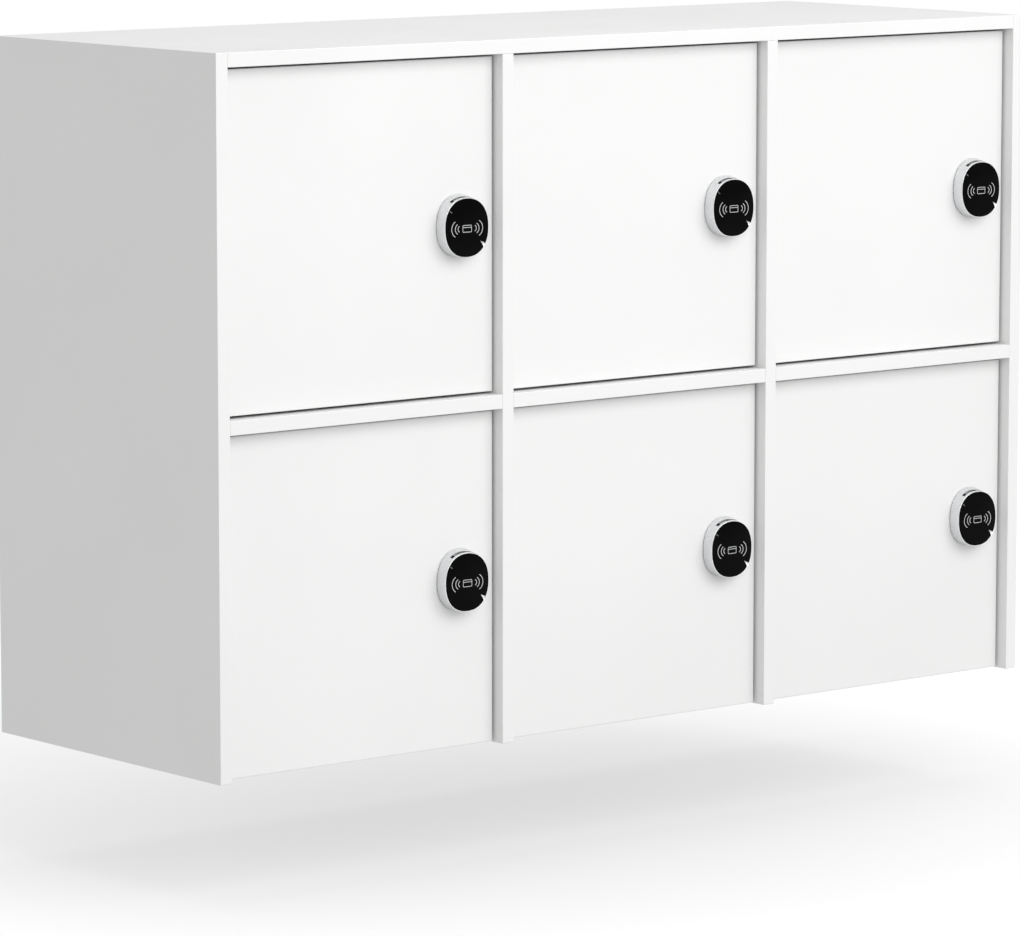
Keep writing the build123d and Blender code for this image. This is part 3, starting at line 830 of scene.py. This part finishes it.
        # Painted highlight: the grey mark is lighter than the black plate, as a glint.
        highlight = settle(mesh, self.prefix + "_painted_glint", [self.finishes.painted_glint_grey], self.body)
        return highlight

    def build(self) -> None:
        """Makes and dresses every piece of the lock."""
        steps = (
            self.build_shell, self.build_plate, self.build_arcs, self.build_card_mark,
            self.build_painted_glint,
        )
        for step in steps:
            LOGGER.info("built %s", step().name)
        wear(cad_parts[self.prefix + "_lock_case"], self.finishes.dark_case)
        wear(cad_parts[self.prefix + "_lock_bolt"], self.finishes.steel)


@dataclass
class Door:
    """One inset door with its hinge cups and its lock."""

    row: Row
    column: Column
    finishes: Finishes

    @property
    def prefix(self) -> str:
        """The start of the names of this door's nodes."""
        return self.row.value + "_" + self.column.value

    def build(self) -> None:
        """Dresses the door and builds its lock."""
        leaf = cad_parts[self.prefix + "_door"]
        low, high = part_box(self.prefix + "_door")
        edges = [(0, low.x), (0, high.x), (2, low.z), (2, high.z)]
        wear(leaf, MelamineFinish(name="melamine_" + self.prefix).build(edges))
        wear(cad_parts[self.prefix + "_hinge_cups"], self.finishes.nickel)
        wear(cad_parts[self.prefix + "_door_screws"], self.finishes.zinc)
        LOGGER.info("dressed %s", leaf.name)
        CardLock(self.prefix, self.finishes).build()


@dataclass
class Carcass:
    """The boards, the back panel and the hidden fittings."""

    finishes: Finishes
    uprights: tuple[str, ...] = ("side_panel_left", "side_panel_right", "divider_left", "divider_right")
    levels: tuple[str, ...] = ("top_panel", "shelf_left", "shelf_middle", "shelf_right")
    floors: tuple[str, ...] = ("floor_left", "floor_middle", "floor_right")

    def build(self) -> None:
        """Dresses every piece of the carcass."""
        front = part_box("side_panel_left")[0].y
        floor_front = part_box("floor_left")[0].y
        board = MelamineFinish(name="melamine_boards").build([(1, front)])
        floor_board = MelamineFinish(name="melamine_floors").build([(1, floor_front)])
        worn = {name: board for name in self.uprights + self.levels}
        worn.update({name: floor_board for name in self.floors})
        worn["back_panel"] = self.finishes.hardboard
        worn["cam_housings"] = self.finishes.zinc
        worn["connecting_bolts"] = self.finishes.zinc
        worn["carcass_screws"] = self.finishes.zinc
        worn["hinge_plates"] = self.finishes.nickel
        worn["hinge_arms"] = self.finishes.nickel
        worn["strike_plates"] = self.finishes.nickel
        for name, material in worn.items():
            wear(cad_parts[name], material)
            LOGGER.info("dressed %s", name)


@dataclass(frozen=True)
class StudioLight:
    """A soft area light that faces the unit."""

    name: str
    place: Triple
    aim: Triple
    width: float
    height: float
    power: float

    def build(self) -> bpy.types.Object:
        """Makes the light.

        Returns:
            The light.
        """
        data = bpy.data.lights.new(self.name, "AREA")
        data.shape = "RECTANGLE"
        data.size = self.width
        data.size_y = self.height
        data.energy = self.power
        lamp = bpy.data.objects.new(self.name, data)
        bpy.context.scene.collection.objects.link(lamp)
        lamp.location = self.place
        way = Vector(self.aim) - Vector(self.place)
        lamp.rotation_euler = way.to_track_quat("-Z", "Y").to_euler()
        return lamp


@dataclass
class Studio:
    """The pale floor with painted shade around the unit, the soft light and the camera."""

    floor_drop: float = 0.145
    floor_size: float = 60.0
    floor_colour: Colour = (0.36, 0.36, 0.36)
    floor_roughness: float = 0.9
    floor_specular: float = 0.1
    # Painted shade: the floor glows less near the unit than far off, so it is darker around the unit.
    glow_in_painted_shade: float = 0.49
    glow_past_painted_shade: float = 0.77
    painted_shade_fade_start: float = 0.15
    painted_shade_fade_end: float = 1.6
    ambient: float = 0.63
    backdrop: float = 1.0
    camera_place: Triple = (-4.1749, -5.0669, 1.1586)
    camera_heading: float = 39.329
    camera_pitch: float = -7.67
    lens: float = 199.5
    sensor: float = 36.0
    farthest: float = 200.0
    lights: tuple[StudioLight, ...] = (
        StudioLight("key_light", (0.35, -3.0, 2.25), (0.0, 0.0, 0.5), 4.8, 2.6, 96.5),
        StudioLight("top_light", (0.0, 0.2, 4.2), (0.0, 0.0, 0.0), 4.0, 3.0, 41.0),
    )

    def build_floor(self) -> bpy.types.Object:
        """Makes the floor below the unit, with painted shade: its glow is lower near the unit and rises
        further out.

        Returns:
            The floor.
        """
        mesh = bmesh.new()
        place = Matrix.Translation((0.0, 0.0, -self.floor_drop))
        bmesh.ops.create_grid(mesh, x_segments=1, y_segments=1, size=self.floor_size / 2, matrix=place)
        data = bpy.data.meshes.new("studio_floor")
        mesh.to_mesh(data)
        mesh.free()
        floor = bpy.data.objects.new("studio_floor", data)
        bpy.context.scene.collection.objects.link(floor)
        sheet = ShaderSheet("studio_floor")
        # Painted shade: the glow rises with the distance from the unit's middle, darkening the floor near
        # the unit.
        distance = sheet.add("ShaderNodeVectorMath", operation="LENGTH")
        sheet.links.new(sheet.place(), distance.inputs[0])
        painted_shade_glow = sheet.add("ShaderNodeMapRange", interpolation_type="SMOOTHSTEP")
        limits = (self.painted_shade_fade_start, self.painted_shade_fade_end, self.glow_in_painted_shade, self.glow_past_painted_shade)
        for key, value in zip(("From Min", "From Max", "To Min", "To Max"), limits):
            painted_shade_glow.inputs[key].default_value = value
        sheet.links.new(distance.outputs["Value"], painted_shade_glow.inputs["Value"])
        sheet.set(Base_Color=self.floor_colour, Roughness=self.floor_roughness)
        sheet.set(Specular_IOR_Level=self.floor_specular)
        sheet.set(Emission_Color=(1.0, 1.0, 1.0), Emission_Strength=painted_shade_glow.outputs["Result"])
        data.materials.append(sheet.material)
        floor.visible_diffuse = False
        return floor

    def build_world(self) -> None:
        """Makes the white surroundings, brighter to look at than as a light."""
        world = bpy.data.worlds.new("studio_world")
        bpy.context.scene.world = world
        world.use_nodes = True
        nodes = world.node_tree.nodes
        links = world.node_tree.links
        path = nodes.new("ShaderNodeLightPath")
        strength = nodes.new("ShaderNodeMapRange")
        strength.inputs["To Min"].default_value = self.ambient
        strength.inputs["To Max"].default_value = self.backdrop
        links.new(path.outputs["Is Camera Ray"], strength.inputs["Value"])
        nodes["Background"].inputs["Color"].default_value = (1.0, 1.0, 1.0, 1.0)
        links.new(strength.outputs["Result"], nodes["Background"].inputs["Strength"])

    def build_camera(self) -> bpy.types.Object:
        """Makes the camera at the photograph's viewing angle.

        Returns:
            The camera.
        """
        data = bpy.data.cameras.new("photo_camera")
        data.sensor_width = self.sensor
        data.lens = self.lens
        data.clip_end = self.farthest
        camera = bpy.data.objects.new("photo_camera", data)
        bpy.context.scene.collection.objects.link(camera)
        camera.location = self.camera_place
        pitch = math.radians(90.0 + self.camera_pitch)
        camera.rotation_euler = (pitch, 0.0, math.radians(-self.camera_heading))
        bpy.context.scene.camera = camera
        return camera

    def build(self) -> None:
        """Makes the whole studio."""
        self.build_floor()
        self.build_world()
        self.build_camera()
        for light in self.lights:
            light.build()
            LOGGER.info("lit %s", light.name)
        bpy.context.scene.view_settings.view_transform = "Standard"


def main() -> None:
    """Builds the whole unit and its studio."""
    logging.basicConfig(level=logging.INFO)
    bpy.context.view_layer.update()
    finishes = Finishes()
    Carcass(finishes).build()
    for row in Row:
        for column in Column:
            Door(row, column, finishes).build()
    Studio().build()


if __name__ == "__main__":
    main()
